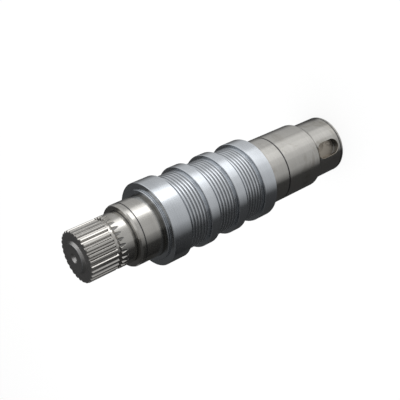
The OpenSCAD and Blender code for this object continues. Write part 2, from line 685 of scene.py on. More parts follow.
    def face_zone(self, zone: Zone, corners: list[Point]) -> Zone:
        """Picks the zone of a face, with ground lands on the teeth and painted shade at their feet.

        Args:
            zone: Zone of the face's ring.
            corners: Its corners, in metres.

        Returns:
            The face's own zone.
        """
        if zone is not Zone.HOBBED:
            return zone
        count = len(corners)
        r = sum(math.hypot(x, y) for x, y, _ in corners) / count / MM
        z = sum(h for _, _, h in corners) / count / MM
        angle = self.from_gap(sum(math.degrees(math.atan2(y, x)) for x, y, _ in corners) / count)
        floor = self.half_gap(self.root_r)
        if z < self.relief_z and r < self.tip_r - self.land:
            # painted shade down the middle of each run-out
            return Zone.OILED if abs(angle) < self.shade_share * floor else Zone.GROUND
        if r < self.relief_r + self.relief_rise or abs(angle) < floor:
            return zone
        # painted shade on the flanks near the gaps' roots
        if r < self.root_r + self.shade_rise:
            return Zone.OILED
        return Zone.GROUND if r > self.tip_r - self.land else zone

    def rings(self) -> list[Ring]:
        """Draws the neck's rim, the relief, the teeth and the end face.

        Returns:
            Rings from the plain neck to inside the teeth on the end face.
        """
        angles = self.fine_angles()
        even = self.even_angles(len(angles) - 1)
        rim = self.relief_z - self.rim[0]
        crease = [min(self.run_out(a), rim - self.rim[1]) for a in angles]
        rings = [
            Ring.plain((self.neck_r, self.neck_z[1]), even, Zone.GROUND),
            Ring.plain((self.neck_r, self.neck_z[2]), angles, Zone.GROUND),
            Ring(list(angles), [self.neck_r] * len(angles), crease, Zone.GROUND),
        ]
        for share in self.face_shares:
            z = [mix(low, rim, share) for low in crease]
            r = [self.cut(self.neck_r, a, self.lift(h)) for a, h in zip(angles, z)]
            rings.append(Ring(list(angles), r, z, Zone.HOBBED))
        mouth = rings[-1].radii

        def level(radii: list[float], z: float) -> Ring:
            """Makes a level ring in the hobbed zone."""
            return Ring(list(angles), radii, [z] * len(angles), Zone.HOBBED)

        out, up = self.relief_edge
        back, behind = self.foot_edge
        floor, low = [self.relief_r] * len(angles), [self.relief_r + out] * len(angles)
        teeth = [self.cut(self.tip_r, a) for a in angles]
        rings += [
            level([r - self.mouth_edge for r in mouth], self.relief_z),
            level(low, self.relief_z),
            level(floor, self.relief_z + up),
            level(floor, self.foot_z - up),
            level(low, self.foot_z),
            level([r - back for r in teeth], self.foot_z),
            level(teeth, self.foot_z + behind),
            level(teeth, self.end_z - self.chamfer),
        ]
        for share in self.chamfer_shares:
            top = self.tip_r - self.chamfer * share
            radii = [self.cut(top, a) for a in angles]
            rings.append(level(radii, self.end_z - self.chamfer * (1 - share)))
        for inside, across in zip(self.disc, (angles, even)):
            rings.append(Ring.plain((self.root_r - inside, self.end_z), across, Zone.FACED))
        return rings


@dataclass
class EndBoss:
    """The low cone left on the spline's end face, with its turning centre."""

    disc_r: float = 25.4
    foot_r: float = 18.3
    foot_z: float = 381.2
    height: float = 3.0
    slope: float = 38.0
    edge: float = 0.4
    centre: CentreHole = field(default_factory=CentreHole)

    @property
    def top(self) -> float:
        """Height of the boss's face."""
        return self.foot_z + self.height

    @property
    def rim_r(self) -> float:
        """Radius of the boss's face."""
        return self.foot_r - self.height * math.tan(math.radians(self.slope))

    def on_rim(self, r: float, z: float) -> bool:
        """Tells whether a point of the half section lies on the boss's broken edge."""
        return abs(r - self.rim_r) < self.edge and self.top - self.edge < z < self.top - HAIR / 10

    def corners(self) -> list[Corner]:
        """Draws the end face, the boss and its centre hole, ending on the axis.

        Returns:
            The boss's corners.
        """
        return [
            Corner(self.disc_r, self.foot_z),
            Corner(self.foot_r, self.foot_z, self.edge, 2),
            Corner(self.rim_r, self.top, self.edge, 2),
            *reversed(self.centre.corners(self.top, -1)),
        ]


@dataclass
class Keyway:
    """The round-ended slot in the tail, as the shape that cuts it.

    Args:
        shaded: How far up from the slot's lower end shade is painted on its walls and the floor's
            broken edge.
        floor_edge: How far the floor's edge is broken.
        clear: How far the cutting shape stands clear of the walls outside the tail.
        reach: How far out from the slot's floor that shape ends.
    """

    width: float = 20.0
    length: float = 35.8
    depth: float = 7.5
    foot: float = 9.0
    chamfer: float = 0.35
    oiled: float = 8.0
    floor_edge: float = 0.3
    clear: float = 1.0
    reach: float = 16.0
    arc_steps: int = 28
    tail: Tail = field(default_factory=Tail)
    journal: RearJournal = field(default_factory=RearJournal)

    def outline(self, grow: float) -> list[tuple[float, float]]:
        """Draws the slot's outline as points of x and z.

        Args:
            grow: How far outside the slot's walls the outline lies.

        Returns:
            Points, anticlockwise as seen from outside the tail.
        """
        half = self.width / 2
        points: list[tuple[float, float]] = []
        for centre, start in ((self.foot + self.length - half, 0), (self.foot + half, 180)):
            for k in range(self.arc_steps + 1):
                a = math.radians(start + 180 * k / self.arc_steps)
                reach = half + grow
                points.append((reach * math.cos(a), centre + reach * math.sin(a)))
        return points

    def surface(self, x: float, z: float) -> float:
        """Finds the tail's surface on the keyway's side.

        Args:
            x: Distance from the keyway's middle.
            z: Height.

        Returns:
            The y of the surface there.
        """
        share = min(1.0, max(0.0, (z - self.tail.length) / self.tail.cone_len))
        r = mix(self.tail.r, self.journal.r, share)
        return -math.sqrt(max(0.0, r * r - x * x))

    def build(self, material: bpy.types.Material) -> bpy.types.Object:
        """Makes the cutting shape: a loft from the slot's floor to outside the tail.

        Args:
            material: The slot's finish.

        Returns:
            The cutting shape, hidden.
        """
        inner, outer = self.outline(0), self.outline(self.chamfer)
        far, floor = self.outline(self.clear), self.depth - self.tail.r
        levels = [
            [(x, floor, z) for x, z in self.outline(-self.floor_edge)],
            [(x, floor - self.floor_edge, z) for x, z in inner],
            [(x, self.surface(x, z) + self.chamfer, z) for x, z in inner],
            [(x, self.surface(x, z), z) for x, z in outer],
            [(x, self.surface(x, z) - (self.clear - self.chamfer), z) for x, z in far],
            [(x, floor - self.reach, z) for x, z in far],
        ]
        count = len(inner)
        points = [tuple(c * MM for c in p) for level in levels for p in level]
        faces: list[Face] = [tuple(reversed(range(count)))]
        found = [Zone.MILLED.value]
        for i in range(len(levels) - 1):
            for j in range(count):
                k = (j + 1) % count
                low, high = i * count, (i + 1) * count
                faces.append((low + j, low + k, high + k, high + j))
                # painted shade on the walls near the slot's lower end
                deep = i < 2 and inner[j][1] < self.foot + self.oiled
                found.append((Zone.OILED if deep else Zone.MILLED).value)
        faces.append(tuple(range((len(levels) - 1) * count, len(levels) * count)))
        found.append(Zone.MILLED.value)
        mesh = mesh_of("key_cutter", points, faces)
        mesh.attributes.new("zone", "INT", "FACE").data.foreach_set("value", found)
        mesh.materials.append(material)
        cutter = placed("key_cutter", mesh)
        cutter.hide_render = True
        return cutter


# Node graphs, and the effects that the finishes share


class Graph:
    """Short names for adding and joining nodes in one tree."""

    def __init__(self, tree: bpy.types.NodeTree) -> None:
        """Keeps the tree and empties it."""
        self.tree = tree
        tree.nodes.clear()

    def put(self, socket: Socket, value: object) -> None:
        """Links a socket into an input, or sets a plain value on it.

        Args:
            socket: The input.
            value: A socket to link, or a plain value.
        """
        if isinstance(value, bpy.types.NodeSocket):
            self.tree.links.new(value, socket)
        else:
            socket.default_value = value

    def add(self, kind: str, *inputs: object, **settings: object) -> bpy.types.Node:
        """Adds a node.

        Args:
            kind: Name of the node's class.
            inputs: Sockets or plain values for its first inputs, in order.
            settings: Properties to set on the node.

        Returns:
            The new node.
        """
        node = self.tree.nodes.new(kind)
        for name, value in settings.items():
            setattr(node, name, value)
        for i, value in enumerate(inputs):
            self.put(node.inputs[i], value)
        return node

    def feed(self, node: bpy.types.Node, **values: object) -> bpy.types.Node:
        """Sets or links inputs by name, with underscores for spaces.

        Args:
            node: The node whose inputs are fed.
            values: Sockets to link, or plain values to set.

        Returns:
            The same node.
        """
        for name, value in values.items():
            self.put(node.inputs[name.replace("_", " ")], value)
        return node

    def maths(self, operation: str, *terms: object, clamp: bool = False) -> Socket:
        """Adds a Math node over sockets or numbers and returns its result."""
        return self.add("ShaderNodeMath", *terms, operation=operation, use_clamp=clamp).outputs[0]

    def span(self, value: Socket, *edges: object) -> Socket:
        """Maps a value from one range to another, smoothly.

        Args:
            value: The socket to map.
            edges: From low, from high, to low and to high.

        Returns:
            The mapped socket.
        """
        how = {"interpolation_type": "SMOOTHSTEP"}
        return self.add("ShaderNodeMapRange", value, *edges, **how).outputs[0]

    def blend(self, share: object, a: object, b: object) -> Socket:
        """Mixes two colours, given as sockets or as colours, by a share.

        Args:
            share: Share of the second colour.
            a: The first colour.
            b: The second colour.

        Returns:
            The mixed colour.
        """
        node = self.add("ShaderNodeMix", data_type="RGBA")
        for i, value in ((0, share), (6, a), (7, b)):
            self.put(node.inputs[i], value)
        return node.outputs[2]

    def own_place(self) -> Socket:
        """Returns the place on the piece, in its own coordinates."""
        return self.add("ShaderNodeTexCoord").outputs["Object"]

    def noise(self, place: Socket, **values: object) -> Socket:
        """Adds a noise texture and returns its level."""
        return self.feed(self.add("ShaderNodeTexNoise"), Vector=place, **values).outputs[0]

    def group(self, tree: bpy.types.NodeTree, **values: object) -> bpy.types.Node:
        """Adds a shader group and feeds its inputs."""
        return self.feed(self.add("ShaderNodeGroup", node_tree=tree), **values)

    def seen(self) -> Socket:
        """Tells what the eye and the steel see from plain light.

        Returns:
            A socket that is 1 for the first two and 0 for the last.
        """
        rays = self.add("ShaderNodeLightPath").outputs
        seen = self.maths("MAXIMUM", rays["Is Camera Ray"], rays["Is Glossy Ray"])
        return self.maths("MAXIMUM", seen, rays["Is Transmission Ray"])


def new_material(name: str) -> tuple[bpy.types.Material, Graph]:
    """Makes a material and the graph of its empty tree.

    Args:
        name: Name of the material.

    Returns:
        The material and the graph.
    """
    material = bpy.data.materials.new(name)
    material.use_nodes = True
    return material, Graph(material.node_tree)


def new_group(
    name: str, inputs: dict[str, float], outputs: tuple[str, ...]
) -> tuple[Graph, bpy.types.bpy_prop_collection, bpy.types.Node]:
    """Starts a shader node group.

    Args:
        name: Name of the group.
        inputs: Named number inputs and their plain values.
        outputs: Named value outputs.

    Returns:
        The graph of the new group, the sockets it is given and the node that ends it.
    """
    tree = bpy.data.node_groups.new(name, "ShaderNodeTree")
    for label, value in inputs.items():
        socket = tree.interface.new_socket(label, in_out="INPUT", socket_type="NodeSocketFloat")
        socket.default_value = value
    for label in outputs:
        tree.interface.new_socket(label, in_out="OUTPUT", socket_type="NodeSocketFloat")
    g = Graph(tree)
    return g, g.add("NodeGroupInput").outputs, g.add("NodeGroupOutput")


class ShaderGroups:
    """Effects that several finishes of the shaft share."""

    def __init__(self) -> None:
        """Builds each group once."""
        self.marks = self.tool_marks()
        self.stain = self.oil_stain()
        self.rub = self.handling_rub()
        self.corner_shade = self.corner_oil()

    @staticmethod
    def tool_marks() -> bpy.types.NodeTree:
        """Rings left round the axis by the tool: lines on the sides, circles on the faces.

        Returns:
            The group's tree.
        """
        g, given, end = new_group("tool_marks", {"Lines": 500.0, "Drift": 14.0}, ("Fine", "Broad"))
        x, y, z = g.add("ShaderNodeSeparateXYZ", g.own_place()).outputs
        r = g.maths("SQRT", g.maths("ADD", g.maths("MULTIPLY", x, x), g.maths("MULTIPLY", y, y)))
        along = g.maths("ADD", z, r)
        across = [g.maths("MULTIPLY", part, given["Drift"]) for part in (x, y)]
        for label, factor, detail in (("Fine", 1.0, 3.0), ("Broad", 0.16, 2.0)):
            lines = g.maths("MULTIPLY", given["Lines"], factor)
            spot = g.add("ShaderNodeCombineXYZ", *across, g.maths("MULTIPLY", along, lines))
            noise = g.noise(spot.outputs[0], Scale=1.0, Detail=detail, Roughness=0.6)
            g.feed(end, **{label: noise})
        return g.tree

    @staticmethod
    def oil_stain() -> bpy.types.NodeTree:
        """Soft patches where oil and handling have dulled the steel.

        Returns:
            The group's tree.
        """
        inputs = {"Scale": 26.0, "Low": 0.5, "High": 0.72}
        g, given, end = new_group("oil_stain", inputs, ("Mask",))
        noise = {"Scale": given["Scale"], "Detail": 4.0, "Roughness": 0.62, "Distortion": 0.6}
        level = g.noise(g.own_place(), **noise)
        g.feed(end, Mask=g.span(level, given["Low"], given["High"]))
        return g.tree

    @staticmethod
    def handling_rub() -> bpy.types.NodeTree:
        """Fine scuffs that run along the axis, as fitted rings leave them.

        Returns:
            The group's tree.
        """
        g, given, end = new_group("handling_rub", {"Scale": 420.0, "Stretch": 0.06}, ("Mask",))
        x, y, z = g.add("ShaderNodeSeparateXYZ", g.own_place()).outputs
        spot = g.add("ShaderNodeCombineXYZ", x, y, g.maths("MULTIPLY", z, given["Stretch"]))
        level = g.noise(spot.outputs[0], Scale=given["Scale"], Detail=2.0)
        g.feed(end, Mask=g.span(level, 0.56, 0.74, 0.0, 1.0))
        return g.tree

    @staticmethod
    def corner_oil() -> bpy.types.NodeTree:
        """Painted shade with a ragged edge, in a band round a corner at a height.

        Returns:
            The group's tree.
        """
        g, given, end = new_group("corner_oil", {"Height": 0.0, "Reach": 0.003}, ("Mask",))
        place = g.own_place()
        z = g.add("ShaderNodeSeparateXYZ", place).outputs[2]
        away = g.maths("ABSOLUTE", g.maths("SUBTRACT", z, given["Height"]))
        level = g.noise(place, Scale=160.0, Detail=3.0, Roughness=0.6)
        share = g.maths("DIVIDE", away, given["Reach"])
        share = g.maths("MULTIPLY", share, g.maths("ADD", level, 0.5))
        g.feed(end, Mask=g.span(share, 0.35, 1.0, 1.0, 0.0))
        return g.tree


def paint(colour: Colour, level: float = 1.0) -> tuple[float, float, float, float]:
    """Returns a colour made lighter or darker, with its alpha."""
    return (*(min(1.0, c * level) for c in colour), 1.0)


@dataclass(frozen=True)
class SteelFinish:
    """A finish of bare steel.

    Args:
        name: Name of the material.
        tone: Colour of the clean metal.
        stained: Colour where oil has dulled it.
        roughness: Roughness of the clean metal.
        spread: How much the marks vary the roughness.
        lines: Tool marks to a metre, as the noise counts them.
        depth: Depth of the marks.
        patch: How many stains there are, from 0 to 1.
        stains: Stains to a metre, as the noise counts them.
        corner: Height of a corner where a ragged band of shade is painted, and how far it reaches.
        levels: How light the marks' valleys and crests and the painted corner shade are.
        shares: How strongly crests, scuffs, stains and the painted corner shade colour the metal.
        stain_edges: Low and high edge of the stains' noise where patch is 0.
        stain_fall: How much lower those edges are where patch is 1.
        dulling: How much stains and scuffs add to the roughness.
        broad_depth: How deep the broad marks are beside the fine ones.
        broad_edges: Levels of the broad marks between which the tone rises.
        fine_edges: Levels of the fine marks between which crests brighten it.
    """

    name: str
    tone: Colour
    stained: Colour
    roughness: float
    spread: float
    lines: float
    depth: float
    patch: float
    stains: float = 26.0
    corner: tuple[float, float] | None = None
    levels: tuple[float, float, float] = (0.94, 1.08, 0.5)
    shares: tuple[float, float, float, float] = (0.55, 0.2, 0.75, 0.9)
    stain_edges: tuple[float, float] = (0.78, 0.96)
    stain_fall: float = 0.4
    dulling: tuple[float, float] = (0.07, 0.045)
    broad_depth: float = 0.6
    broad_edges: tuple[float, float] = (0.3, 0.7)
    fine_edges: tuple[float, float] = (0.45, 0.75)

    def coloured(self, g: Graph, groups: ShaderGroups, *masks: Socket) -> Socket:
        """Joins the metal's colours.

        Args:
            g: The material's graph.
            groups: The shared shader groups.
            masks: The fine and broad marks, the stains and the scuffs.

        Returns:
            The colour to show.
        """
        fine, broad, stain, rub = masks
        valley, crest, corner_dark = self.levels
        on_crests, on_rub, on_stain, on_corner_shade = self.shares
        bright = paint(self.tone, crest)
        tone = g.blend(g.span(broad, *self.broad_edges), paint(self.tone, valley), paint(self.tone))
        tone = g.blend(g.span(fine, *self.fine_edges, 0.0, on_crests), tone, bright)
        tone = g.blend(g.maths("MULTIPLY", rub, on_rub), tone, bright)
        tone = g.blend(g.maths("MULTIPLY", stain, on_stain), tone, paint(self.stained))
        # painted shade: darkens the metal in a ragged band round the corner
        if self.corner:
            height, reach = (size * MM for size in self.corner)
            corner_shade = g.group(groups.corner_shade, Height=height, Reach=reach).outputs[0]
            dark = paint(self.stained, corner_dark)
            tone = g.blend(g.maths("MULTIPLY", corner_shade, on_corner_shade), tone, dark)
        return tone

    def build(self, groups: ShaderGroups) -> bpy.types.Material:
        """Makes the material.

        Args:
            groups: The shared shader groups.

        Returns:
            The material, with its nodes.
        """
        material, g = new_material(self.name)
        steel = g.feed(g.add("ShaderNodeBsdfPrincipled"), Metallic=1.0)
        g.add("ShaderNodeOutputMaterial", steel.outputs[0])

        fine, broad = g.group(groups.marks, Lines=self.lines).outputs
        low, high = (edge - self.stain_fall * self.patch for edge in self.stain_edges)
        stain = g.group(groups.stain, Scale=self.stains, Low=low, High=high).outputs[0]
        rub = g.group(groups.rub).outputs[0]
        g.feed(steel, Base_Color=self.coloured(g, groups, fine, broad, stain, rub))

        from_stain, from_rub = self.dulling
        rough = g.maths("MULTIPLY_ADD", g.maths("SUBTRACT", fine, 0.5), self.spread, self.roughness)
        rough = g.maths("MULTIPLY_ADD", stain, from_stain, rough)
        rough = g.maths("MULTIPLY_ADD", rub, from_rub, rough, clamp=True)
        relief = g.maths("ADD", fine, g.maths("MULTIPLY", broad, self.broad_depth))
        bump = g.add("ShaderNodeBump")
        g.feed(bump, Strength=1.0, Distance=self.depth * MM, Height=relief)
        g.feed(steel, Roughness=rough, Normal=bump.outputs[0])
        return material


FINISHES: dict[Zone, SteelFinish] = {
    Zone.GROUND: SteelFinish(
        "ground_journal",
        tone=(0.505, 0.495, 0.47),
        stained=(0.33, 0.31, 0.27),
        roughness=0.17,
        spread=0.05,
        lines=900,
        depth=0.0015,
        patch=0.66,
        # painted shade at the front journal's foot, by the hub ring
        corner=(291.8, 5.0),
    ),
    Zone.TURNED: SteelFinish(
        "turned_collar", (0.59, 0.62, 0.655), (0.42, 0.45, 0.49), 0.2, 0.06, 700, 0.002, 0.36
    ),
    Zone.HOBBED: SteelFinish(
        "hobbed_teeth", (0.5, 0.485, 0.46), (0.34, 0.325, 0.3), 0.15, 0.05, 1200, 0.0015, 0.35
    ),
    Zone.FACED: SteelFinish(
        "faced_end", (0.45, 0.445, 0.44), (0.25, 0.24, 0.225), 0.34, 0.1, 800, 0.004, 0.5
    ),
    Zone.MILLED: SteelFinish(
        "milled_slot", (0.47, 0.43, 0.37), (0.13, 0.11, 0.085), 0.36, 0.12, 500, 0.005, 0.76, 95
    ),
    # painted shade: a dark finish where shade falls in the recesses
    Zone.OILED: SteelFinish(
        "oiled_recess", (0.21, 0.21, 0.21), (0.12, 0.115, 0.11), 0.24, 0.1, 600, 0.002, 0.4
    ),
    # painted shade: the waist grooves are darker than the collars
    Zone.GROOVED: SteelFinish(
        "waist_groove", (0.29, 0.305, 0.325), (0.2, 0.21, 0.225), 0.24, 0.08, 600, 0.002, 0.3
    ),
}


# The skin of the shaft


@dataclass
class ShaftSkin:
    """The whole turned shaft as one closed skin."""

    spline: Spline = field(default_factory=Spline)
    tail: Tail = field(default_factory=Tail)
    rear: RearJournal = field(default_factory=RearJournal)
    stack: CollarStack = field(default_factory=CollarStack)
    front: FrontJournal = field(default_factory=FrontJournal)
    boss: EndBoss = field(default_factory=EndBoss)
    keyway: Keyway = field(default_factory=Keyway)
    join: float = 0.002
    faced_rim: float = 0.3

    def zone_of(self, r: float, z: float) -> Zone:
        """Picks the zone of the turned skin at a point of the half section.

        Args:
            r: Distance from the axis.
            z: Height.

        Returns:
            The zone.
        """
        end_z = self.spline.end_z
        if z > end_z and self.boss.on_rim(r, z):
            return Zone.TURNED
        if z < HAIR or r < self.tail.centre.mouth_r + self.faced_rim or z > end_z - HAIR:
            return Zone.FACED
        # painted shade on the hub's line and in the neck's relief
        if self.front.in_painted_shade(r, z):
            return Zone.OILED
        if self.stack.foot - HAIR < z < self.front.hub_top + HAIR:
            # painted shade in the waists' grooves
            return Zone.GROOVED if self.stack.in_groove(r) else Zone.TURNED
        parts = (self.tail, self.rear, self.front)
        # painted shade in the journals' ring grooves and along their lips
        oiled = any(part.groove.in_painted_shade(r, z, part.r) for part in parts)
        return Zone.OILED if oiled else Zone.GROUND

    def strip(self) -> list[Ring]:
        """Draws one pitch of the skin from the tail's centre hole to the spline's.

        Returns:
            Rings of points, in order.
        """
        turned = (self.tail, self.rear, self.stack, self.front)
        corners = [corner for part in turned for corner in part.corners()]
        body = broken([*corners, Corner(self.spline.neck_r, self.spline.neck_z[0])])
        angles = self.spline.even_angles(self.spline.coarse)
        rings: list[list[Ring]] = []
        for points in (body, broken(self.boss.corners())):
            made = []
            for k, point in enumerate(points):
                before = points[max(0, k - 1)]
                middle = ((point[0] + before[0]) / 2, (point[1] + before[1]) / 2)
                made.append(Ring.plain(point, angles, self.zone_of(*middle)))
            rings.append(made)
        return [*rings[0], *self.spline.rings(), *rings[1]]

    def strip_mesh(self) -> bpy.types.Mesh:
        """Joins the rings of one pitch into a strip of faces.

        Returns:
            The strip, with a zone number on each face.
        """
        rings = self.strip()
        points: list[Point] = []
        starts: list[int] = []
        for ring in rings:
            starts.append(len(points))
            points += [ring.point(i) for i in range(len(ring.angles))]
        faces: list[Face] = []
        zones: list[int] = []
        for k in range(1, len(rings)):
            a, b = starts[k - 1], starts[k]
            n, m = len(rings[k - 1].angles) - 1, len(rings[k].angles) - 1
            few = min(n, m)
            for j in range(few or max(n, m)):
                if n == 0:
                    face = (a, b + j + 1, b + j)
                elif m == 0:
                    face = (a + j, a + j + 1, b)
                else:
                    down = range(a + j * n // few, a + (j + 1) * n // few + 1)
                    up = range(b + j * m // few, b + (j + 1) * m // few + 1)
                    face = (*down, *reversed(up))
                faces.append(face)
                zone = self.spline.face_zone(rings[k].zone, [points[i] for i in face])
                zones.append(zone.value)
        mesh = mesh_of("shaft_strip", points, faces)
        mesh.attributes.new("zone", "INT", "FACE").data.foreach_set("value", zones)
        return mesh

    def tree(self, materials: dict[Zone, bpy.types.Material]) -> bpy.types.NodeTree:
        """Builds the node tree that makes the shaft of one pitch.

        Args:
            materials: The material of each zone.

        Returns:
            The tree, with named inputs for its sizes.
        """
        tree = bpy.data.node_groups.new("turn_round_axis", "GeometryNodeTree")
        inputs = {"Pitches": "Int", "Turn": "Float", "Join distance": "Float", "Cutter": "Object"}
        for label, kind in {"Geometry": "Geometry", **inputs}.items():
            tree.interface.new_socket(label, in_out="INPUT", socket_type=f"NodeSocket{kind}")
        tree.interface.new_socket("Geometry", in_out="OUTPUT", socket_type="NodeSocketGeometry")
        g = Graph(tree)
        given = g.add("NodeGroupInput").outputs
        points = g.feed(g.add("GeometryNodePoints"), Count=given["Pitches"])
        step = g.maths("DIVIDE", math.tau, given["Pitches"])
        index = g.add("GeometryNodeInputIndex").outputs[0]
        turn = g.add("FunctionNodeAxisAngleToRotation")
        angle = g.maths("MULTIPLY_ADD", index, step, given["Turn"])
        g.feed(turn, Axis=(0.0, 0.0, 1.0), Angle=angle)
        copies = g.add("GeometryNodeInstanceOnPoints")
        g.feed(copies, Points=points.outputs[0], Instance=given["Geometry"])
        g.feed(copies, Rotation=turn.outputs[0])
        real = g.add("GeometryNodeRealizeInstances", copies.outputs[0])
        joined = g.feed(g.add("GeometryNodeMergeByDistance"), Geometry=real.outputs[0])
        g.feed(joined, Distance=given["Join distance"])
        tool = g.feed(g.add("GeometryNodeObjectInfo"), Object=given["Cutter"])
        slot = g.add("GeometryNodeMeshBoolean", operation="DIFFERENCE", solver="MANIFOLD")
        g.feed(slot, Mesh_1=joined.outputs[0], Mesh_2=tool.outputs["Geometry"])
        skin = g.feed(g.add("GeometryNodeSetShadeSmooth"), Geometry=slot.outputs[0]).outputs[0]
        skin = g.add("GeometryNodeRealizeInstances", skin).outputs[0]
        named = g.add("GeometryNodeInputNamedAttribute", "zone", data_type="INT")
        for zone, material in materials.items():
            same = g.add("FunctionNodeCompare", data_type="INT", operation="EQUAL")
            g.put(same.inputs[2], named.outputs["Attribute"])
            g.put(same.inputs[3], zone.value)
            dress = g.add("GeometryNodeSetMaterial")
            g.feed(dress, Geometry=skin, Selection=same.outputs[0], Material=material)
            skin = dress.outputs[0]
        g.add("NodeGroupOutput", skin)
        return tree

    def build(self, materials: dict[Zone, bpy.types.Material]) -> bpy.types.Object:
        """Makes the finished skin as a plain mesh.

        Args:
            materials: The material of each zone.

        Returns:
            The shaft's object, at the origin, with its finishes.
        """
        cutter = self.keyway.build(materials[Zone.MILLED])
        strip = placed("shaft_strip", self.strip_mesh())
        strip.data.materials.append(materials[Zone.GROUND])
        modifier = strip.modifiers.new("turn", "NODES")
        modifier.node_group = self.tree(materials)
        values = {
            "Pitches": self.spline.teeth,
            "Turn": math.radians(self.spline.turn),
            "Join distance": self.join * MM,
            "Cutter": cutter,
        }
        for item in modifier.node_group.interface.items_tree:
            if item.in_out == "INPUT" and item.name in values:
                modifier[item.identifier] = values[item.name]
        mesh = plain_mesh(strip)
        for spare in (strip, cutter):
            bpy.data.objects.remove(spare)
        mesh.set_sharp_from_angle(angle=math.radians(SHARP_ANGLE))
        return self.weighted(placed(PIECE, mesh))

    @staticmethod
    def weighted(shaft: bpy.types.Object) -> bpy.types.Object:
        """Gives the broken edges normals that follow the larger faces beside them.

        Args:
            shaft: The shaft's object.

        Returns:
            The same object, with its new mesh.
        """
        modifier = shaft.modifiers.new("even", "WEIGHTED_NORMAL")
        modifier.keep_sharp = True
        modifier.weight = FACE_WEIGHT
        old, shaft.data = shaft.data, plain_mesh(shaft)
        bpy.data.meshes.remove(old)
        shaft.data.name = PIECE
        return shaft


# Studio


@dataclass(frozen=True)
class Board:
    """A reflecting board or dark cloth round the shaft, seen only in the steel.

    Args:
        name: What it is.
        start: Azimuth of its first edge.
        end: Azimuth of its other edge.
        glow: Brightness at its first edge.
        glow_end: Brightness at its other edge.
        near: Share of that brightness close to the shaft's foot, where the tail looks.
        far: Share of it further off, where the front journal, the neck and the teeth look.
        sky: Share of it high on the wall, where the shoulders look.
        lift: Height above the floor.
        mid: Share of it where the three collars nearest the tail look.
    """

    name: str
    start: float
    end: float
    glow: float
    glow_end: float
    near: float = 1.0
    far: float = 1.0
    sky: float = 0.0
    lift: float = 0.6
    mid: float = 1.0


BOARDS: tuple[Board, ...] = (
    Board("cloth_edge", 98, 72, 0.07, 0.14),
    Board("grey_rise", 72, 44, 0.14, 0.66, sky=0.6),
    Board("grey_board", 44, 6, 0.66, 0.82, 0.92, 0.82, sky=1.25),
    Board("reflector_rise", 6, -12, 0.82, 1.65, 0.72, 1.25, sky=1.0),
    Board("reflector", -12, -30, 1.65, 1.65, 0.66, 1.5, sky=0.45),
    Board("reflector_end", -30, -38, 1.2, 1.1, 1.07, 2.2, sky=0.66, mid=1.45),
    Board("pale_edge", -38, -47, 0.85, 0.78, 1.5, 1.5, sky=1.3, mid=1.73),
    Board("pale_turn", -47, -57, 0.78, 0.735, 1.52, 1.05, sky=1.3, mid=1.62),
    Board("pale_board", -57, -78, 0.735, 0.64, 1.27, 0.95, sky=1.3, mid=1.24),
    Board("pale_fall", -78, -110, 0.64, 0.5, 1.1, 1.05, sky=0.8, mid=1.12),
    Board("grey_fall", -110, -140, 0.5, 0.1, 1.2, 0.75),
    Board("cloth", -140, -200, 0.06, 0.05, far=2.6, lift=0.3),
    Board("back_cloth", -200, -300, 0.05, 0.03, far=1.2, lift=0.3),
)


@dataclass(frozen=True)
class PhotoView:
    """The camera's place and lens, solved from the photograph. The place is in metres."""

    place: Point = (0.17479, -0.69237, 0.67628)
    azimuth: float = -75.851
    elevation: float = 33.024
    roll: float = -114.823
    sensor: float = 36.0
    lens: float = 65.73

    def build(self) -> None:
        """Puts the camera where the photograph was taken from, with the same tilt."""
        data = bpy.data.cameras.new("camera")
        data.sensor_width, data.lens = self.sensor, self.lens
        camera = placed("camera", data)
        camera.location = self.place
        azimuth, elevation = math.radians(self.azimuth), math.radians(self.elevation)
        back = Vector((math.cos(azimuth), math.sin(azimuth), math.tan(elevation))).normalized()
        tilt = Quaternion((0, 0, 1), math.radians(self.roll))
        camera.rotation_mode = "QUATERNION"
        camera.rotation_quaternion = (-back).to_track_quat("-Z", "Y") @ tilt
        bpy.context.scene.camera = camera


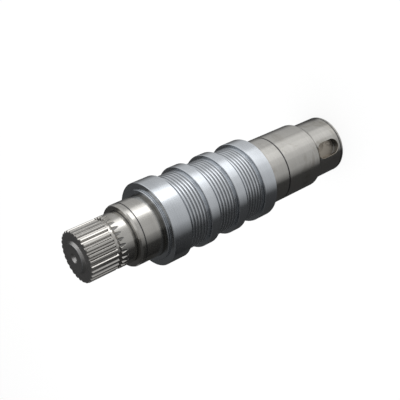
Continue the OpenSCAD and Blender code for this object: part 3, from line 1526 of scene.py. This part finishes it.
@dataclass
class Studio:
    """A pale floor, soft lamps and the boards that shape the reflections.

    The higher up the shaft, the further out it mirrors the floor, so distances along a board
    answer to the shaft's sections. They are measured from a line along the shaft's skin.

    Args:
        view: The camera, which the boards are turned towards.
        step: Azimuth from one line of a board's points to the next.
        shaft_r: Radius of the skin that the boards start from.
        under: Share of a board's near brightness on the axis.
        foot: Share of it at the skin.
        rear: Share of it where the rear journal's mirror image ends, and that distance.
        collars: Where the three rear collars' mirror image starts and ends.
        front: The same of the front collar.
        beyond: The same of the journal, the neck and the teeth in front of it.
        open_floor: Two cross lines on the floor further out.
        glowing: Distance past which the floor is at least as bright as the horizon.
        reach: Distance of the wall.
        wall: Its height.
        lit: Height up to which the wall is lit as the floor is.
        low_wall: Share of a board's brightness there.
        fade: How many times higher the wall has its sky's brightness.
        dark: Brightness that the shares start from.
        horizon: Brightness of the floor far out.
        roof: Brightness of the canopy.
        cloth_half: Half the side of the cloth under the shaft.
        cloth_z: Its height.
        floor_size: Side of the floor, in metres.
        floor_tone: The floor's own colour, as it lights the shaft.
        floor_white: Its brightness to the eye, and how much of that shows.
        daylight: The world's strength as light.
        aim: Height that the lamps face, in metres.
    """

    view: PhotoView = field(default_factory=PhotoView)
    step: float = 4.0
    shaft_r: float = 42.0
    under: float = 0.7
    foot: float = 0.86
    rear: tuple[float, float] = (1.05, 190.0)
    collars: tuple[float, float] = (212.0, 385.0)
    front: tuple[float, float] = (405.0, 435.0)
    beyond: tuple[float, float] = (455.0, 820.0)
    open_floor: tuple[float, float] = (1080.0, 1600.0)
    glowing: float = 1000.0
    reach: float = 1700.0
    wall: float = 2300.0
    lit: float = 450.0
    low_wall: float = 0.9
    fade: float = 1.6
    dark: float = 0.07
    horizon: float = 0.34
    roof: float = 0.24
    cloth_half: float = 240.0
    cloth_z: float = 0.15
    floor_size: float = 14.0
    floor_tone: float = 0.9
    floor_white: tuple[float, float] = (1.02, 0.86)
    daylight: float = 0.65
    aim: float = 0.19

    @staticmethod
    def glow_material() -> bpy.types.Material:
        """Makes the boards' material, which shows the brightness painted on their points.

        Returns:
            The material.
        """
        material, g = new_material("board_glow")
        level = g.add("ShaderNodeAttribute", attribute_name="glow").outputs["Fac"]
        lamp = g.feed(g.add("ShaderNodeEmission"), Strength=level)
        g.add("ShaderNodeOutputMaterial", lamp.outputs[0])
        return material

    def stations(self, spec: Board) -> list[tuple[float, float, float, float]]:
        """Lists the lines across a board.

        Args:
            spec: The board.

        Returns:
            For each line its start from the axis, its distance from there, its height and
            its share of the board's brightness.
        """
        along = [
            (0.0, spec.near * self.foot),
            (self.rear[1], spec.near * self.rear[0]),
            *((out, spec.mid) for out in self.collars),
            *((out, 1.0) for out in self.front),
            *((out, spec.far) for out in self.beyond),
            *((out, 1.0) for out in self.open_floor),
        ]
        up = [
            (0.0, 1.0),
            (self.lit, self.low_wall),
            (self.lit * self.fade, spec.sky),
            (self.wall, spec.sky),
        ]
        return [
            (0.0, 0.0, 0.0, spec.near * self.under),
            *((self.shaft_r, out, 0.0, part) for out, part in along),
            *((self.shaft_r, self.reach, z, part) for z, part in up),
        ]

    def board(self, spec: Board) -> bpy.types.Object:
        """Makes one board: a strip on the floor that turns up into a wall.

        Args:
            spec: The board's edges and brightness.

        Returns:
            The board's object.
        """
        steps = max(2, round(abs(spec.end - spec.start) / self.step))
        stations = self.stations(spec)
        points, faces, glow = [], [], []
        for k in range(steps + 1):
            share = k / steps
            azimuth = mix(spec.start, spec.end, share)
            facing = math.radians((azimuth + self.view.azimuth) / 2)
            away = math.radians(azimuth)
            level = mix(spec.glow, spec.glow_end, share)
            for foot, out, z, part in stations:
                x = foot * math.cos(facing) + out * math.cos(away)
                y = foot * math.sin(facing) + out * math.sin(away)
                points.append((x * MM, y * MM, (z + spec.lift) * MM))
                found = mix(self.dark, level, part)
                distant = self.glowing < out < self.reach
                glow.append(max(found, self.horizon) if distant else found)
        row = len(stations)
        for k in range(steps):
            for j in range(row - 1):
                a = k * row + j
                faces.append((a, a + 1, a + row + 1, a + row))
        return self.steel_only(spec.name, points, faces, glow)

    def sheet(self, name: str, half: float, z: float, glow: float) -> bpy.types.Object:
        """Makes a level square sheet round the axis.

        Args:
            name: Name of the sheet.
            half: Half its side.
            z: Its height.
            glow: Its brightness.

        Returns:
            The sheet's object.
        """
        turns = ((-1, -1), (1, -1), (1, 1), (-1, 1))
        corners = [(x * half * MM, y * half * MM, z * MM) for x, y in turns]
        return self.steel_only(name, corners, [(0, 1, 2, 3)], [glow] * 4)

    @staticmethod
    def steel_only(
        name: str, points: list[Point], faces: list[Face], glow: list[float]
    ) -> bpy.types.Object:
        """Makes an object that only the steel's reflections show.

        Args:
            name: Name of the object.
            points: Its points, in metres.
            faces: Its faces.
            glow: The brightness of each point.

        Returns:
            The object.
        """
        mesh = mesh_of(name, points, faces)
        mesh.attributes.new("glow", "FLOAT", "POINT").data.foreach_set("value", glow)
        mesh.materials.append(bpy.data.materials.get("board_glow") or Studio.glow_material())
        board = placed(name, mesh)
        for rays in ("camera", "diffuse", "transmission", "shadow"):
            setattr(board, f"visible_{rays}", False)
        return board

    def floor(self) -> None:
        """Makes the pale floor, white to the eye but with the shaft's soft shadow."""
        half = self.floor_size / 2
        corners = [(-half, -half, 0), (half, -half, 0), (half, half, 0), (-half, half, 0)]
        mesh = mesh_of("floor", corners, [(0, 1, 2, 3)])
        material, g = new_material("pale_floor")
        strength, shown = self.floor_white
        matt = g.feed(g.add("ShaderNodeBsdfDiffuse"), Color=paint((self.floor_tone,) * 3))
        white = g.feed(g.add("ShaderNodeEmission"), Strength=strength)
        share = g.maths("MULTIPLY", g.seen(), shown)
        both = g.add("ShaderNodeMixShader", share, matt.outputs[0], white.outputs[0])
        g.add("ShaderNodeOutputMaterial", both.outputs[0])
        material.cycles.emission_sampling = "NONE"
        mesh.materials.append(material)
        floor = placed("floor", mesh)

    def world(self) -> None:
        """Sets a plain pale world: white to the eye and in the steel, softer as light."""
        world = bpy.data.worlds.new("studio")
        world.use_nodes = True
        g = Graph(world.node_tree)
        strength = g.maths("MULTIPLY_ADD", g.seen(), 1 - self.daylight, self.daylight)
        sky = g.add("ShaderNodeBackground", paint((1.0, 1.0, 1.0)), strength)
        g.add("ShaderNodeOutputWorld", sky.outputs[0])
        world.cycles.sampling_method = "NONE"
        bpy.context.scene.world = world

    def lamp(self, name: str, place: Point, size: float, power: float) -> None:
        """Adds a soft square lamp that faces the middle of the shaft.

        Args:
            name: Name of the lamp.
            place: Where it hangs, in metres.
            size: Length of its side, in metres.
            power: Its power in watts.
        """
        data = bpy.data.lights.new(name, "AREA")
        data.size, data.energy = size, power
        lamp = placed(name, data)
        lamp.visible_glossy = False
        lamp.location = place
        lamp.rotation_mode = "QUATERNION"
        aim = Vector((0.0, 0.0, self.aim)) - Vector(place)
        lamp.rotation_quaternion = aim.to_track_quat("-Z", "Y")

    def build(self) -> None:
        """Builds the floor, boards, lamps, world and camera."""
        self.floor()
        for spec in BOARDS:
            self.board(spec)
        self.sheet("canopy", self.reach + 2 * self.shaft_r, self.wall, self.roof)
        self.sheet("foot_cloth", self.cloth_half, self.cloth_z, self.dark)
        self.world()
        self.lamp("overhead", (-0.3, 0.2, 2.0), size=1.6, power=28.0)
        self.view.build()
        bpy.context.scene.view_settings.view_transform = "Standard"


def main() -> None:
    """Builds the shaft and its studio."""
    logging.basicConfig(level=logging.INFO, format="%(name)s: %(message)s")
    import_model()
    groups = ShaderGroups()
    materials = {zone: finish.build(groups) for zone, finish in FINISHES.items()}
    LOG.info("finishes: %s", ", ".join(m.name for m in materials.values()))
    shaft = ShaftSkin().build(materials)
    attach(shaft, "root")
    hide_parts(NODE)
    LOG.info("%s: %d faces", shaft.name, len(shaft.data.polygons))
    Studio().build()
    LOG.info("studio: %d boards", len(BOARDS))


if __name__ == "__main__":
    main()
